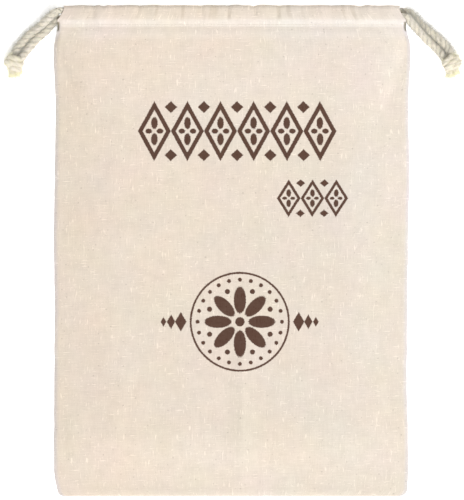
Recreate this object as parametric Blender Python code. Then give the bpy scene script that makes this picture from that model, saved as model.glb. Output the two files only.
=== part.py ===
"""A drawstring bread bag of plain linen, lying on its back.

The bag's width runs along X, its height along Y with the mouth at +Y, and Z is up.
The origin is the middle of the bag's footprint, on the surface that it lies on.
Two panels are sewn together at the sides and the bottom. Each panel's top edge is
folded inwards to make a casing, and two drawcords run round through both casings,
one knotted at each side.
"""

import math

import bmesh
import bpy
from mathutils import Matrix, Vector

MM = 0.001

# The bag, lying flat
BAG_WIDTH = 300 * MM
BAG_HEIGHT = 418 * MM
LEFT_CORNER = 3.5 * MM
LEFT_SLANT = 3.6 * MM
SLANT_REACH = 21 * MM
RIGHT_CORNER = 7 * MM
CLOTH = 1.0 * MM
GAP = 0.3 * MM
LOFT_TOP = 14.0 * MM
LOFT_BOTTOM = 11.0 * MM

# The rounded edge at the side seams and the bottom seam
EDGE_REACH = 7.0 * MM
EDGE_RISE = 4.2 * MM
SEAM_TILT = 0.4 * MM
EASE_REACH = 62.0 * MM
EDGE_STEPS = 3
CORNER_STEPS = 5
SLANT_STEPS = 2

# How far each side seam wanders out of the bag's half width, in mm, down the bag's height
SIDE_LINES = [
    {"y": -209, "left": 0.6, "right": 0.2},
    {"y": -180, "left": 1.6, "right": 0.7},
    {"y": -110, "left": 1.4, "right": -0.5},
    {"y": -50, "left": 0.9, "right": -0.2},
    {"y": 10, "left": 1.8, "right": 0.6},
    {"y": 70, "left": 0.9, "right": 1.5},
    {"y": 120, "left": 0.2, "right": 0.8},
    {"y": 168, "left": 1.8, "right": 2.4},
    {"y": 191, "left": 0.4, "right": 1.0},
]

# The casing and the cords in it
CORD_DIAMETER = 5.0 * MM
CORD_GAP = 0.42 * MM
CASING_DEPTH = 18.0 * MM
FLAP_BELOW_STITCH = 1.5 * MM
MOUTH_GAP_AT_SIDES = 0.6 * MM
MOUTH_LIFT = 6.0 * MM
CASING_HALF_LENGTH = 148.0 * MM
FOLD_HALF_LENGTH = 142.5 * MM
FLAP_HALF_LENGTH = 134.5 * MM
SLIT_LENGTH = 14.0 * MM
RISE_LENGTH = 95.0 * MM
RISE_STARTS = 0.19
RISE_IS_FULL = 0.81
FOLD_END = 0.15

# The cords' twist of three strands, which shows on the free ends, where the soft cord swells
TAIL_DIAMETER = 6.8 * MM
SWELL_LENGTH = 24.0 * MM
STRANDS = 3
TWIST_PITCH = 17.0 * MM
TWIST_DEPTH = 0.16
CORD_SIDES = 12
TAIL_STEP = 1.9 * MM
RUN_STEP = 9.0 * MM

# The knots: the place of each knot's middle in mm, and the way its cords come in, in degrees
KNOT_LENGTH = 17.0 * MM
KNOT_WIDTH = 17.5 * MM
KNOT_HEIGHT = 13.8 * MM
KNOT_WRAPS = 2.0
KNOT_RIDGE = 0.1
KNOT_SIDES = 20
KNOT_RINGS = 12
COLLAR_REACH = 9.6 * MM
COLLAR_DROP = 2.4 * MM
COLLAR_SPREAD = 3.75 * MM
COLLAR_GAP = 0.5 * MM
APPROACH = 2.4 * MM
TAIL_REACH = 13.2 * MM
TAIL_DROP = 3.6 * MM
TAIL_SHORTER = 1.4 * MM
TAIL_ROOT = 1.5 * MM
TAIL_TIP = 2.8 * MM
END_DIAMETER = 5.6 * MM
KNOT_LEFT = {"middle": (-185.2, 160.4, 7.0), "turn": -29, "tail_turn": 6}
KNOT_RIGHT = {"middle": (187.0, 160.6, 7.0), "turn": 30, "tail_turn": 9}

# Worked out from the sizes above
HALF_WIDTH = BAG_WIDTH / 2
TOP = BAG_HEIGHT / 2
BOTTOM = -BAG_HEIGHT / 2
STITCH = TOP - CASING_DEPTH
TUNNEL_RADIUS = CORD_DIAMETER / 2 + CORD_GAP
WALL_RADIUS = TUNNEL_RADIUS + CLOTH / 2
RUN_PITCH = CORD_DIAMETER + CORD_GAP
UPPER_RUN = TOP - CLOTH - TUNNEL_RADIUS
LOWER_RUN = UPPER_RUN - RUN_PITCH
BACK_TUNNEL = CLOTH + TUNNEL_RADIUS
FRONT_TUNNEL_AT_SIDES = 2 * (CLOTH + TUNNEL_RADIUS) + MOUTH_GAP_AT_SIDES + BACK_TUNNEL
RIM = CLOTH + GAP + SEAM_TILT
LAYER_PITCH = CLOTH + GAP

# Soft folds of the front: where each runs, its half width, and its height (down if negative)
FOLDS = [
    {"from": (9.6, -66), "to": (9.0, -192), "half_width": 15, "height": 1.3},
    {"from": (-104, 132), "to": (-70, 40), "half_width": 17, "height": 1.2},
    {"from": (-70, 40), "to": (-41, -28), "half_width": 15, "height": 0.9},
    {"from": (127, 30), "to": (124, -110), "half_width": 16, "height": -1.0},
    {"from": (-122, -60), "to": (-118, -175), "half_width": 18, "height": -0.9},
    {"from": (60, 150), "to": (74, 60), "half_width": 20, "height": -0.7},
]

# Gathers of the front casing: the middle of each, its half width and its height
GATHERS = [
    {"x": -128, "half_width": 9, "height": 0.7},
    {"x": -108, "half_width": 8, "height": 0.9},
    {"x": -86, "half_width": 10, "height": 0.6},
    {"x": -66, "half_width": 8, "height": 1.0},
    {"x": -44, "half_width": 11, "height": 0.6},
    {"x": -20, "half_width": 9, "height": 0.7},
    {"x": 4, "half_width": 8, "height": 1.0},
    {"x": 28, "half_width": 9, "height": 0.9},
    {"x": 51, "half_width": 10, "height": 0.5},
    {"x": 74, "half_width": 9, "height": 0.8},
    {"x": 97, "half_width": 10, "height": 0.6},
    {"x": 117, "half_width": 8, "height": 1.0},
    {"x": 134, "half_width": 8, "height": 0.6},
]

# How strongly the gathers show on the way up to the fold, and at each angle of its turn
HALFWAY_WEIGHT = 0.15
FLANK_WEIGHT = 0.6
TOP_TURN = [
    {"degrees": 60, "weight": 0.7},
    {"degrees": 30, "weight": 0.4},
    {"degrees": 0, "weight": 0.2},
    {"degrees": -30, "weight": 0.0},
    {"degrees": -60, "weight": 0.0},
]

# The free ends of the cords in mm, from the casing to the knot, chosen by hand
LEFT_FRONT_TAIL = [
    (-149.4, 203.2, 12.3), (-156.1, 197.9, 10.6), (-163.2, 191.5, 7.6), (-170.8, 185.7, 4.7),
    (-177.6, 178.8, 3.8),
]
LEFT_BACK_TAIL = [
    (-148.2, 197.9, 3.8), (-152.7, 194.3, 3.6), (-159.2, 187.1, 3.4), (-166.2, 180.9, 3.6),
    (-172.0, 174.2, 3.7),
]
RIGHT_FRONT_TAIL = [
    (148.9, 198.6, 12.3), (154.6, 192.4, 10.6), (160.0, 186.7, 7.9), (166.4, 180.3, 4.8),
    (172.9, 174.4, 3.8),
]
RIGHT_BACK_TAIL = [
    (151.9, 202.6, 3.8), (158.5, 195.6, 3.5), (163.9, 190.9, 3.5), (170.8, 185.5, 3.6),
    (177.9, 179.6, 3.7),
]
RUN_STATIONS = (-134, -112, -84, -45, 0, 45, 84, 112, 134)
RUN_END = 143 * MM
ROUTE_STEPS = 8
TURN_START = 136 * MM
TURN_FLATNESS = 0.86
TURN_STEPS = 8
CHANGE_STARTS = 0.3
CHANGE_ENDS = 0.7

# Columns and rows of the panels' grids
FRONT_COLUMNS = 38
FRONT_ROWS = 12
BACK_COLUMNS = 18
BACK_ROWS = 8
SLIT_ROWS = 3


def smooth_step(t):
    t = min(max(t, 0.0), 1.0)
    return t * t * (3 - 2 * t)


def mix(a, b, t):
    return a + (b - a) * t


def bump(distance, half_width):
    """A rounded rise: 1 in the middle and 0 at half_width."""
    t = abs(distance) / half_width
    return (1 - t * t) ** 2 if t < 1 else 0.0


def edge_stations():
    """The rounded edge of the front panel, as (distance from the edge, share of the loft)."""
    stations = []
    for step in range(EDGE_STEPS + 1):
        angle = math.pi / 2 * step / EDGE_STEPS
        inward = EDGE_REACH * (1 - math.cos(angle))
        stations.append((inward, EDGE_RISE / LOFT_BOTTOM * math.sin(angle)))
    return stations


def loft_share(inward):
    """The share of the loft reached past the rounded edge, this far in from the edge."""
    start = EDGE_RISE / LOFT_BOTTOM
    eased = (inward - EDGE_REACH) / (EASE_REACH - EDGE_REACH)
    return mix(start, 1.0, math.sin(math.pi / 2 * min(max(eased, 0.0), 1.0)))


def front_columns(columns, half):
    """The columns of the front panel, as (x, share of the loft), from the left edge to the right."""
    edge = edge_stations()
    inner = half - EDGE_REACH
    middle = []
    for i in range(1, columns):
        x = mix(-inner, inner, i / columns)
        middle.append((x, loft_share(half - abs(x))))
    left = [(inward - half, share) for inward, share in edge]
    right = [(half - inward, share) for inward, share in reversed(edge)]
    return left + middle + right


def side_line(y, side):
    """How far the side seam wanders out of the half width at this height. side is left or right."""
    for below, above in zip(SIDE_LINES, SIDE_LINES[1:]):
        if y <= above["y"] * MM:
            t = (y / MM - below["y"]) / (above["y"] - below["y"])
            return mix(below[side], above[side], smooth_step(t)) * MM
    return SIDE_LINES[-1][side] * MM


def corner_inset(above_bottom, radius):
    """How far a rounded bottom corner draws the side edge in, this far above the bottom."""
    rest = max(radius - above_bottom, 0.0)
    return radius - math.sqrt(radius**2 - rest**2)


def half_widths(y, inset):
    """The bag's half width at this height on its left and its right, less an inset. The left
    side slants inwards on its way down to its rounded corner."""
    above = y - BOTTOM - inset
    slant = LEFT_SLANT * max(1 - above / SLANT_REACH, 0.0) ** 2
    left = HALF_WIDTH - inset + side_line(y, "left") - corner_inset(above, LEFT_CORNER) - slant
    right = HALF_WIDTH - inset + side_line(y, "right") - corner_inset(above, RIGHT_CORNER)
    into_slit = smooth_step((y - STITCH + SLIT_LENGTH) / SLIT_LENGTH)
    return mix(left, CASING_HALF_LENGTH, into_slit), mix(right, CASING_HALF_LENGTH, into_slit)


def spread(x, half, left, right):
    """Where a column at x of a grid that is half wide each way comes in a row with these sides."""
    return x * (left if x < 0 else right) / half


def mouth_rise(x):
    """How far the mouth gapes at this place, over its gap at the sides."""
    t = min(abs(x) / CASING_HALF_LENGTH, 1.0)
    return MOUTH_LIFT * (1 - t**4)


def front_tunnel(x):
    return FRONT_TUNNEL_AT_SIDES + mouth_rise(x)


def fold_height(x, y):
    """The height that the soft folds add to the front at this place."""
    height = 0.0
    spot = Vector((x, y)) / MM
    for fold in FOLDS:
        start = Vector(fold["from"])
        along = Vector(fold["to"]) - start
        t = (spot - start).dot(along) / along.length_squared
        nearest = start + along * min(max(t, 0.0), 1.0)
        fade_in = smooth_step((t + FOLD_END) / (2 * FOLD_END))
        fade_out = smooth_step((1 + FOLD_END - t) / (2 * FOLD_END))
        beside = bump((spot - nearest).length, fold["half_width"])
        height += fold["height"] * fade_in * fade_out * beside
    return height * MM


def gather_height(x):
    return sum(g["height"] * bump(x / MM - g["x"], g["half_width"]) for g in GATHERS) * MM


def body_point(x, share, y, row_share):
    """A point of the front panel's middle surface between the bottom and the stitch line."""
    loft = mix(LOFT_BOTTOM, LOFT_TOP, smooth_step((y - BOTTOM) / BAG_HEIGHT))
    lofted = (loft - RIM) * share * row_share
    body = RIM + lofted + fold_height(x, y) * share * row_share
    casing = front_tunnel(x) + LAYER_PITCH / 2
    inner = smooth_step((share - RISE_STARTS) / (RISE_IS_FULL - RISE_STARTS))
    rise_length = mix(SLIT_LENGTH, RISE_LENGTH, inner)
    return Vector((x, y, mix(body, casing, smooth_step((y - STITCH + rise_length) / rise_length))))


def casing_stations(panel_at_stitch, flap_at_stitch):
    """The fold of cloth round the two cord runs, as (y, height from the tunnel's middle,
    half length, weight of the gathers), from the stitch line over the top and back to it.
    Both heights at the stitch line are counted outwards from the tunnel's middle."""
    flank = LOWER_RUN - TUNNEL_RADIUS
    halfway = (flank + STITCH) / 2
    slanted = mix(CASING_HALF_LENGTH, FOLD_HALF_LENGTH, 0.5)
    outer = [
        (halfway, mix(panel_at_stitch, WALL_RADIUS, 0.5), CASING_HALF_LENGTH, HALFWAY_WEIGHT),
        (flank, WALL_RADIUS, CASING_HALF_LENGTH, FLANK_WEIGHT),
        (LOWER_RUN, WALL_RADIUS, slanted, 1.0),
        (UPPER_RUN, WALL_RADIUS, FOLD_HALF_LENGTH, 1.0),
    ]
    turn = []
    for spot in TOP_TURN:
        angle = math.radians(spot["degrees"])
        y = UPPER_RUN + WALL_RADIUS * math.cos(angle)
        half_length = FOLD_HALF_LENGTH if angle >= 0 else FLAP_HALF_LENGTH
        turn.append((y, WALL_RADIUS * math.sin(angle), half_length, spot["weight"]))
    flap = [
        (UPPER_RUN, -WALL_RADIUS),
        (LOWER_RUN, -WALL_RADIUS),
        (flank, -WALL_RADIUS),
        (halfway, mix(flap_at_stitch, -WALL_RADIUS, 0.5)),
        (STITCH, flap_at_stitch),
        (STITCH - FLAP_BELOW_STITCH, flap_at_stitch),
    ]
    return outer + turn + [(y, height, FLAP_HALF_LENGTH, 0.0) for y, height in flap]


def rows_upwards(first, last, count):
    """The heights of the rows past first: some up the slant, and then count of them to last."""
    slant_top = BOTTOM + SLANT_REACH
    rows = [mix(first, slant_top, i / SLANT_STEPS) for i in range(1, SLANT_STEPS + 1)]
    return rows + [mix(slant_top, last, i / count) for i in range(1, count + 1)]


def front_rows():
    """The rows of the front panel up to the stitch line, as (y, share of the loft)."""
    rows = []
    for inward, share in edge_stations():
        rows.append((BOTTOM + CLOTH / 2 + inward, share))
    last = STITCH - SLIT_LENGTH
    for y in rows_upwards(BOTTOM + EDGE_REACH, last, FRONT_ROWS):
        rows.append((y, loft_share(y - BOTTOM)))
    for i in range(1, SLIT_ROWS + 1):
        rows.append((mix(last, STITCH, i / SLIT_ROWS), 1.0))
    return rows


def front_surface():
    """The front panel's middle surface, as rows of points from the bottom to the flap's edge."""
    half = HALF_WIDTH - CLOTH / 2
    columns = front_columns(FRONT_COLUMNS, half)
    grid = []
    for y, row_share in front_rows():
        left, right = half_widths(y, CLOTH / 2)
        row = [(spread(x, half, left, right), share) for x, share in columns]
        grid.append([body_point(x, share, y, row_share) for x, share in row])
    for y, height, half_length, weight in casing_stations(LAYER_PITCH / 2, -LAYER_PITCH / 2):
        row = []
        for x, _ in columns:
            x = x * half_length / half
            out = Vector((0.0, y - UPPER_RUN if y > UPPER_RUN else 0.0, height)).normalized()
            row.append(
                Vector((x, y, front_tunnel(x) + height)) + out * gather_height(x) * weight
            )
        grid.append(row)
    return grid


def back_surface():
    """The back panel's middle surface: flat on the ground, with its casing folded over on top."""
    half = HALF_WIDTH
    columns = [mix(-half, half, i / BACK_COLUMNS) for i in range(BACK_COLUMNS + 1)]
    corner_angles = [math.pi / 2 * i / CORNER_STEPS for i in range(CORNER_STEPS + 1)]
    ys = [BOTTOM + RIGHT_CORNER * (1 - math.cos(angle)) for angle in corner_angles]
    ys += rows_upwards(ys[-1], STITCH - SLIT_LENGTH, BACK_ROWS)
    grid = []
    for y in [*ys, STITCH - SLIT_LENGTH / 2, STITCH]:
        left, right = half_widths(y, 0.0)
        grid.append([Vector((spread(x, half, left, right), y, CLOTH / 2)) for x in columns])
    for y, height, half_length, _ in casing_stations(WALL_RADIUS, WALL_RADIUS - LAYER_PITCH):
        grid.append([Vector((x * half_length / half, y, BACK_TUNNEL - height)) for x in columns])
    return grid


def linen():
    material = bpy.data.materials.new("linen")
    material.use_nodes = True
    shader = material.node_tree.nodes["Principled BSDF"]
    shader.inputs["Base Color"].default_value = (0.82, 0.74, 0.63, 1.0)
    shader.inputs["Roughness"].default_value = 0.9
    return material


def cotton():
    material = bpy.data.materials.new("cotton_cord")
    material.use_nodes = True
    shader = material.node_tree.nodes["Principled BSDF"]
    shader.inputs["Base Color"].default_value = (0.84, 0.78, 0.64, 1.0)
    shader.inputs["Roughness"].default_value = 0.95
    return material


def place(name, data, material):
    thing = bpy.data.objects.new(name, data)
    thing.data.materials.append(material)
    bpy.context.scene.collection.objects.link(thing)
    return thing


def cloth_sheet(name, grid, material):
    """A sheet of cloth, one CLOTH thick, on a grid of points of its middle surface."""
    mesh = bpy.data.meshes.new(name)
    shape = bmesh.new()
    rows = [[shape.verts.new(point) for point in row] for row in grid]
    for low, high in zip(rows, rows[1:]):
        for i in range(len(low) - 1):
            shape.faces.new((low[i], low[i + 1], high[i + 1], high[i]))
    shape.to_mesh(mesh)
    shape.free()
    mesh.shade_smooth()
    sheet = place(name, mesh, material)
    solidify = sheet.modifiers.new("cloth thickness", "SOLIDIFY")
    solidify.thickness = CLOTH
    solidify.offset = 0.0
    solidify.use_even_offset = True
    return sheet


def side_turn(side, front_y, back_y):
    """The bend of a cord from its lane in the front casing to its lane in the back casing,
    inside one side. It changes lanes between the other cord's two runs."""
    top = front_tunnel(TURN_START)
    radius = (top - BACK_TUNNEL) / 2
    points = []
    for step in range(TURN_STEPS + 1):
        t = step / TURN_STEPS
        angle = math.pi / 2 - math.pi * t
        out = TURN_START + radius * TURN_FLATNESS * math.cos(angle)
        y = mix(front_y, back_y, smooth_step((t - CHANGE_STARTS) / (CHANGE_ENDS - CHANGE_STARTS)))
        points.append(Vector((side * out, y, BACK_TUNNEL + radius * (1 + math.sin(angle)))))
    return points


def knot_frame(knot):
    """The place of a knot: its cords come in along its +Y."""
    turn = Matrix.Rotation(math.radians(knot["turn"]), 4, "Z")
    return Matrix.Translation(Vector(knot["middle"]) * MM) @ turn


def collar(knot, strand):
    """Where a cord enters its knot: the collar's root, and its end. strand is -1 or 1."""
    frame = knot_frame(knot)
    beside = strand * COLLAR_SPREAD
    return frame @ Vector((beside, 0, 0)), frame @ Vector((beside, COLLAR_REACH, -COLLAR_DROP))


def knot_approach(knot, strand):
    """The last points of a cord's free end, square to the knot's collar."""
    root, end = collar(knot, strand)
    away = (end - root).normalized()
    return [end + away * (COLLAR_GAP + back) for back in (APPROACH, APPROACH / 2, 0)]


def cord_route(side, front_y, back_y, front_tail, back_tail, knot):
    """The whole route of one cord: in from its knot through the front casing at front_y, round
    the far side, and out through the back casing at back_y to the same knot."""
    stations = [x * MM for x in RUN_STATIONS]
    if side > 0:
        stations.reverse()
    inwards = [Vector((x, front_y, front_tunnel(x))) for x in (side * RUN_END, *stations)]
    outwards = [Vector((x, back_y, BACK_TUNNEL)) for x in (*reversed(stations), side * RUN_END)]
    front = [Vector(point) * MM for point in front_tail] + knot_approach(knot, -1)
    back = [Vector(point) * MM for point in back_tail] + knot_approach(knot, 1)
    turn = side_turn(-side, front_y, back_y)
    return [*reversed(front), *inwards, *turn, *outwards, *back]


def through(points, steps):
    """A smooth curve through the points, with this many steps between each two."""
    line = []
    ends = [points[0] * 2 - points[1], *points, points[-1] * 2 - points[-2]]
    for a, b, c, d in zip(ends, ends[1:], ends[2:], ends[3:]):
        for step in range(steps):
            t = step / steps
            line.append(
                0.5 * (2 * b + (c - a) * t + (2 * a - 5 * b + 4 * c - d) * t**2
                       + (3 * b - a - 3 * c + d) * t**3)
            )
    return [*line, points[-1]]


def freedom(point):
    """How far a point of a cord is out of the casing: 0 inside, 1 where the cord lies free."""
    return smooth_step((abs(point.x) - RUN_END) / SWELL_LENGTH)


def stations_along(line):
    """Points along a line with the distance run so far: close on the free ends, wide inside."""
    stations = [(line[0], 0.0)]
    run = 0.0
    since = 0.0
    for last, point in zip(line, line[1:]):
        step = (point - last).length
        run += step
        since += step
        in_bend = TURN_START < abs(point.x) < RUN_END
        wanted = TAIL_STEP if freedom(point) > 0 or in_bend else RUN_STEP
        if since >= wanted:
            stations.append((point, run))
            since = 0.0
    if since < TAIL_STEP / 2:
        stations.pop()
    return [*stations, (line[-1], run)]


def drawcord(name, route, material):
    """A cord swept along its route, with the ridges of its strands where it lies free."""
    stations = stations_along(through(route, ROUTE_STEPS))
    shape = bmesh.new()
    rings = []
    across = Vector((0, 0, 1))
    for i, (point, run) in enumerate(stations):
        ahead = stations[min(i + 1, len(stations) - 1)][0] - stations[max(i - 1, 0)][0]
        ahead.normalize()
        across = (across - ahead * across.dot(ahead)).normalized()
        beside = ahead.cross(across)
        free = freedom(point)
        radius = mix(CORD_DIAMETER, TAIL_DIAMETER, free) / 2
        twist = math.tau * run / TWIST_PITCH
        ring = []
        for side in range(CORD_SIDES):
            angle = math.tau * side / CORD_SIDES
            ridge = (1 - math.cos(STRANDS * (angle - twist))) / 2
            reach = radius * (1 - TWIST_DEPTH * free * ridge)
            out = across * math.cos(angle) + beside * math.sin(angle)
            ring.append(shape.verts.new(point + out * reach))
        rings.append(ring)
    for low, high in zip(rings, rings[1:]):
        for i in range(CORD_SIDES):
            j = (i + 1) % CORD_SIDES
            shape.faces.new((low[i], low[j], high[j], high[i]))
    shape.faces.new(reversed(rings[0]))
    shape.faces.new(rings[-1])
    mesh = bpy.data.meshes.new(name)
    shape.to_mesh(mesh)
    shape.free()
    mesh.shade_smooth()
    return place(name, mesh, material)


def knot_body(name):
    """The knot's lump, along Y, with the ridges that the wraps of cord make round it."""
    mesh = bpy.data.meshes.new(name)
    shape = bmesh.new()
    turn = Matrix.Rotation(math.pi / 2, 4, "X")
    bmesh.ops.create_uvsphere(
        shape, u_segments=KNOT_SIDES, v_segments=KNOT_RINGS, radius=1.0, matrix=turn
    )
    for vertex in shape.verts:
        around = math.atan2(vertex.co.z, vertex.co.x)
        ridge = math.cos(KNOT_WRAPS * math.pi * vertex.co.y + around)
        swell = 1 + KNOT_RIDGE * ridge * (1 - vertex.co.y**4)
        vertex.co.x *= KNOT_WIDTH / 2 * swell
        vertex.co.z *= KNOT_HEIGHT / 2
        vertex.co.y *= KNOT_LENGTH / 2
    shape.to_mesh(mesh)
    shape.free()
    return mesh


def stub(name, start, end, diameter, material):
    """A short round length of cord from start to end, as a helper that is joined to a knot."""
    mesh = bpy.data.meshes.new(name)
    shape = bmesh.new()
    radius = diameter / 2
    length = (end - start).length
    bmesh.ops.create_cone(
        shape, cap_ends=True, segments=CORD_SIDES, radius1=radius, radius2=radius, depth=length
    )
    shape.to_mesh(mesh)
    shape.free()
    helper = place(name, mesh, material)
    helper.rotation_mode = "QUATERNION"
    helper.rotation_quaternion = (end - start).to_track_quat("Z", "Y")
    helper.location = (start + end) / 2
    helper.hide_render = True
    helper.display_type = "WIRE"
    return helper


def knot(name, place_of_knot, material):
    """A knot with the two cords coming in at one end and their two free ends at the other."""
    body = place(name, knot_body(name), material)
    frame = knot_frame(place_of_knot)
    body.location = frame.translation
    body.rotation_euler = frame.to_euler()
    tail_turn = Matrix.Rotation(math.radians(place_of_knot["tail_turn"]), 4, "Z")
    tail_frame = Matrix.Translation(frame.translation) @ tail_turn
    lengths = []
    for strand in (-1, 1):
        lengths.append((*collar(place_of_knot, strand), TAIL_DIAMETER))
        reach = TAIL_REACH - TAIL_SHORTER * (strand > 0)
        root = tail_frame @ Vector((strand * TAIL_ROOT, 0, 0))
        tip = tail_frame @ Vector((strand * TAIL_TIP, -reach, -TAIL_DROP))
        lengths.append((root, tip, END_DIAMETER))
    for i, (start, end, diameter) in enumerate(lengths):
        join = body.modifiers.new(f"length {i}", "BOOLEAN")
        join.operation = "UNION"
        join.object = stub(f"{name}_length_{i}", start, end, diameter, material)
    return body


def main():
    for thing in list(bpy.data.objects):
        bpy.data.objects.remove(thing)
    cloth = linen()
    cord = cotton()
    cloth_sheet("front_panel", front_surface(), cloth)
    cloth_sheet("back_panel", back_surface(), cloth)
    left = cord_route(-1, UPPER_RUN, LOWER_RUN, LEFT_FRONT_TAIL, LEFT_BACK_TAIL, KNOT_LEFT)
    right = cord_route(1, LOWER_RUN, UPPER_RUN, RIGHT_FRONT_TAIL, RIGHT_BACK_TAIL, KNOT_RIGHT)
    drawcord("drawcord_left", left, cord)
    drawcord("drawcord_right", right, cord)
    knot("knot_left", KNOT_LEFT, cord)
    knot("knot_right", KNOT_RIGHT, cord)


main()
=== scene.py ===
"""The looks of a drawstring bread bag of plain linen that lies on its back.

Each panel is one fine sheet of cloth on the folds of its CAD panel. Two soft cotton cords run
round through both casings, and each is knotted at one side with a frayed end. Sizes and
places repeat those of the CAD source, in metres: +X is right, +Y is the mouth, +Z is up.
"""

import math
import random

import bpy
import numpy as np
from mathutils import Matrix, Vector, noise


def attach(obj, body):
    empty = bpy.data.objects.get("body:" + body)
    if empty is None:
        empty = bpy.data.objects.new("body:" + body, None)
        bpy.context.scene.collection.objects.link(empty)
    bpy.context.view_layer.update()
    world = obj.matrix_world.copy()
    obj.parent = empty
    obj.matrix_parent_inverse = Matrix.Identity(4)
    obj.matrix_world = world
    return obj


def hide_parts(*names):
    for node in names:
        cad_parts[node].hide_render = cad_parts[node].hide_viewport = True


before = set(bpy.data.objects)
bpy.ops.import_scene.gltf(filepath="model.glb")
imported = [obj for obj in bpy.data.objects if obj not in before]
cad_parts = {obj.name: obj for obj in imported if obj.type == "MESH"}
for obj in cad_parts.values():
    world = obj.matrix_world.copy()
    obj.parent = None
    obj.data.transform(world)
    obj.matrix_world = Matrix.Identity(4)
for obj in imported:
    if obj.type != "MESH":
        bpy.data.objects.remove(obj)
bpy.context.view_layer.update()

MM = 0.001

# The bag, as in the CAD source
BAG_HEIGHT = 418 * MM
HALF_WIDTH = 150 * MM
BOTTOM = -209 * MM
STITCH = 191 * MM
LEFT_CORNER = 3.5 * MM
LEFT_SLANT = 3.6 * MM
SLANT_REACH = 21 * MM
RIGHT_CORNER = 7 * MM
LOFT_TOP = 14.0 * MM
LOFT_BOTTOM = 11.0 * MM
EDGE_REACH = 7.0 * MM
EDGE_SHARE = 4.2 / 11.0
EASE_REACH = 62.0 * MM
CASING_HALF_LENGTH = 148.0 * MM
FOLD_HALF_LENGTH = 142.5 * MM
FLAP_HALF_LENGTH = 134.5 * MM
SLIT_LENGTH = 14.0 * MM
RISE_LENGTH = 95.0 * MM
RISE_STARTS = 0.19
RISE_IS_FULL = 0.81
FOLD_END = 0.15
MOUTH_LIFT = 6.0 * MM
FRONT_TUNNEL_AT_SIDES = 12.36 * MM
BACK_TUNNEL = 3.92 * MM
WALL_RADIUS = 3.42 * MM
FLAP_BELOW_STITCH = 1.5 * MM
UPPER_RUN = 205.08 * MM
LOWER_RUN = 199.66 * MM
SIDE_PLACES = np.array((-209, -180, -110, -50, 10, 70, 120, 168, 191)) * MM
LEFT_WANDER = np.array((0.6, 1.6, 1.4, 0.9, 1.8, 0.9, 0.2, 1.8, 0.4)) * MM
RIGHT_WANDER = np.array((0.2, 0.7, -0.5, -0.2, 0.6, 1.5, 0.8, 2.4, 1.0)) * MM

# The cloth as it is dressed: its thickness, and the middle height of each panel's rim
CLOTH = 0.6 * MM
FRONT_RIM = 1.35 * MM
BACK_RIM = 0.74 * MM
LAYER_PITCH = 0.66 * MM

# The casing's lower flank: each height on it, the share of the rise reached there, and how
# strongly the gathers show
FLANK = ((193.6 * MM, 0.4, 0.15), (196.3 * MM, 0.85, 0.45))
CASING_STEP = 1.0 * MM
CASING_FACE = 10

# Soft folds of the front, in mm: those of the CAD source, then finer ones
FOLDS = [
    {"from": (9.6, -66), "to": (9.0, -192), "half_width": 15, "height": 1.3},
    {"from": (-104, 132), "to": (-70, 40), "half_width": 17, "height": 1.2},
    {"from": (-70, 40), "to": (-41, -28), "half_width": 15, "height": 0.9},
    {"from": (127, 30), "to": (124, -110), "half_width": 16, "height": -1.0},
    {"from": (-122, -60), "to": (-118, -175), "half_width": 18, "height": -0.9},
    {"from": (60, 150), "to": (74, 60), "half_width": 20, "height": -0.7},
    {"from": (9.2, -70), "to": (8.6, -186), "half_width": 4.5, "height": 0.35},
    {"from": (-99, 112), "to": (-73, 48), "half_width": 5.5, "height": 0.3},
    {"from": (-128, 150), "to": (-118, 92), "half_width": 9, "height": 0.5},
    {"from": (-60, 96), "to": (-58, 60), "half_width": 12, "height": -0.5},
    {"from": (96, -140), "to": (128, -186), "half_width": 14, "height": 0.5},
    {"from": (-92, -96), "to": (-100, -160), "half_width": 10, "height": 0.4},
    {"from": (100, 40), "to": (92, -30), "half_width": 12, "height": 0.45},
    {"from": (36, -120), "to": (60, -150), "half_width": 10, "height": 0.3},
    {"from": (-30, 168), "to": (-36, 140), "half_width": 9, "height": 0.35},
]

# Gathers of the front casing, in mm: the broad swells of the CAD source
GATHERS = [
    {"x": -128, "half_width": 9, "height": 0.7},
    {"x": -108, "half_width": 8, "height": 0.9},
    {"x": -86, "half_width": 10, "height": 0.6},
    {"x": -66, "half_width": 8, "height": 1.0},
    {"x": -44, "half_width": 11, "height": 0.6},
    {"x": -20, "half_width": 9, "height": 0.7},
    {"x": 4, "half_width": 8, "height": 1.0},
    {"x": 28, "half_width": 9, "height": 0.9},
    {"x": 51, "half_width": 10, "height": 0.5},
    {"x": 74, "half_width": 9, "height": 0.8},
    {"x": 97, "half_width": 10, "height": 0.6},
    {"x": 117, "half_width": 8, "height": 1.0},
    {"x": 134, "half_width": 8, "height": 0.6},
]

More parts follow.
